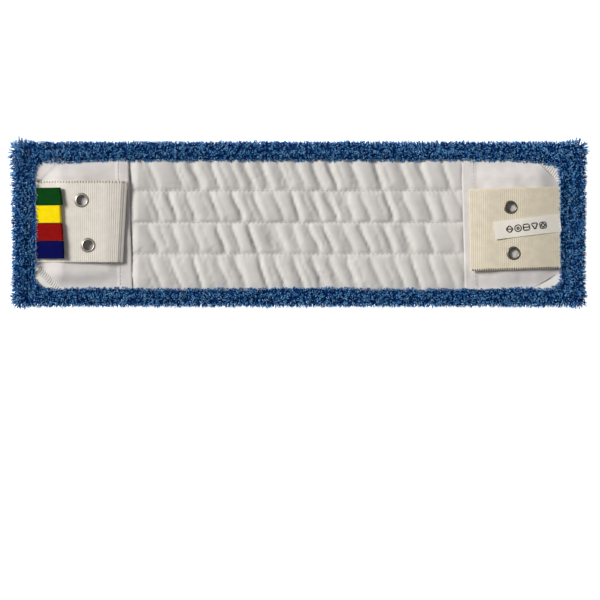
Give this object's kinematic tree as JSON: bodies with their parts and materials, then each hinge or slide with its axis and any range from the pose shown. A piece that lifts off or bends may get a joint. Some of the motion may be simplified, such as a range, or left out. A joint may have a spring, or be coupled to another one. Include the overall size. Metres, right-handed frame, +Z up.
{
  "type": "flat mop pad",
  "caption": "Flat-mop pad: looped microfibre face, quilted cloth back, end pockets and eyelet flaps for a folding frame, colour ribbon tags.",
  "frame": {"origin": "middle of the pad, on the surface that its pile lies on", "axes": "+X along the length towards the labelled end, +Y across the width, +Z up out of the back"},
  "size_m": [0.45, 0.13, 0.0205],
  "materials": {
    "microfibre_face": "looped microfibre pile, matt",
    "microfibre_binding": "looped microfibre pile, matt",
    "wadding": "needled polyester wadding",
    "back_cloth": "ruched polyester cloth, slight sheen",
    "pocket_cloth": "polyester cloth, slight sheen",
    "patch_tape": "woven tape",
    "webbing_white": "ribbed webbing",
    "webbing_cream": "ribbed webbing",
    "left_eyelet_metal": "bright nickel plate",
    "right_eyelet_metal": "dull nickel plate",
    "blue_ribbon": "woven ribbon",
    "red_ribbon": "woven ribbon",
    "yellow_ribbon": "woven ribbon",
    "green_ribbon": "woven ribbon",
    "label_ribbon": "printed satin ribbon",
    "dark_thread": "polyester thread",
    "white_thread": "polyester thread"
  },
  "bodies": {
    "pad": {"face_fabric": "microfibre_face", "absorbent_core": "wadding", "backing_panel": "back_cloth", "front_binding": "microfibre_binding", "rear_binding": "microfibre_binding", "left_end_binding": "microfibre_binding", "right_end_binding": "microfibre_binding", "front_binding_thread": "dark_thread", "rear_binding_thread": "dark_thread", "left_end_binding_thread": "dark_thread", "right_end_binding_thread": "dark_thread", "front_quilting_thread": "white_thread", "middle_quilting_thread": "white_thread", "rear_quilting_thread": "white_thread", "left_front_corner_patch": "patch_tape", "left_rear_corner_patch": "patch_tape", "right_front_corner_patch": "patch_tape", "right_rear_corner_patch": "patch_tape"},
    "left_pocket": {"left_pocket": "pocket_cloth", "left_pocket_thread": "white_thread"},
    "left_flap": {"left_flap": "webbing_white", "left_flap_thread": "white_thread", "left_front_eyelet": "left_eyelet_metal", "left_front_eyelet_washer": "left_eyelet_metal", "left_rear_eyelet": "left_eyelet_metal", "left_rear_eyelet_washer": "left_eyelet_metal"},
    "right_pocket": {"right_pocket": "pocket_cloth", "right_pocket_thread": "white_thread"},
    "right_flap": {"right_flap": "webbing_cream", "right_flap_thread": "white_thread", "right_front_eyelet": "right_eyelet_metal", "right_front_eyelet_washer": "right_eyelet_metal", "right_rear_eyelet": "right_eyelet_metal", "right_rear_eyelet_washer": "right_eyelet_metal"},
    "blue_tag": {"blue_tag": "blue_ribbon"},
    "red_tag": {"red_tag": "red_ribbon"},
    "yellow_tag": {"yellow_tag": "yellow_ribbon"},
    "green_tag": {"green_tag": "green_ribbon"},
    "care_label": {"care_label": "label_ribbon"}
  },
  "joints": [
    {"name": "left_pocket_gape", "type": "hinge", "parent": "pad", "child": "left_pocket", "pos_m": [-0.2039, 0, 0.0101], "axis": [0, -1, 0], "range_deg": [0, 6]},
    {"name": "left_flap_hinge", "type": "hinge", "parent": "left_pocket", "child": "left_flap", "pos_m": [-0.2039, 0, 0.013], "axis": [0, -1, 0], "range_deg": [0, 95]},
    {"name": "right_pocket_gape", "type": "hinge", "parent": "pad", "child": "right_pocket", "pos_m": [0.2039, 0, 0.0101], "axis": [0, 1, 0], "range_deg": [0, 6]},
    {"name": "right_flap_hinge", "type": "hinge", "parent": "right_pocket", "child": "right_flap", "pos_m": [0.2039, 0, 0.013], "axis": [0, 1, 0], "range_deg": [0, 95]},
    {"name": "blue_tag_lift", "type": "hinge", "parent": "left_flap", "child": "blue_tag", "pos_m": [-0.2035, -0.02042, 0.0137], "axis": [0, -1, 0], "range_deg": [0, 25]},
    {"name": "red_tag_lift", "type": "hinge", "parent": "left_flap", "child": "red_tag", "pos_m": [-0.2035, -0.00647, 0.0137], "axis": [0, -1, 0], "range_deg": [0, 25]},
    {"name": "yellow_tag_lift", "type": "hinge", "parent": "left_flap", "child": "yellow_tag", "pos_m": [-0.2035, 0.00747, 0.0137], "axis": [0, -1, 0], "range_deg": [0, 25]},
    {"name": "green_tag_lift", "type": "hinge", "parent": "left_flap", "child": "green_tag", "pos_m": [-0.2035, 0.02142, 0.0137], "axis": [0, -1, 0], "range_deg": [0, 25]},
    {"name": "care_label_lift", "type": "hinge", "parent": "right_flap", "child": "care_label", "pos_m": [0.2035, 0.0008, 0.0133], "axis": [-0.1219, 0.9925, 0], "range_deg": [0, 35]}
  ]
}
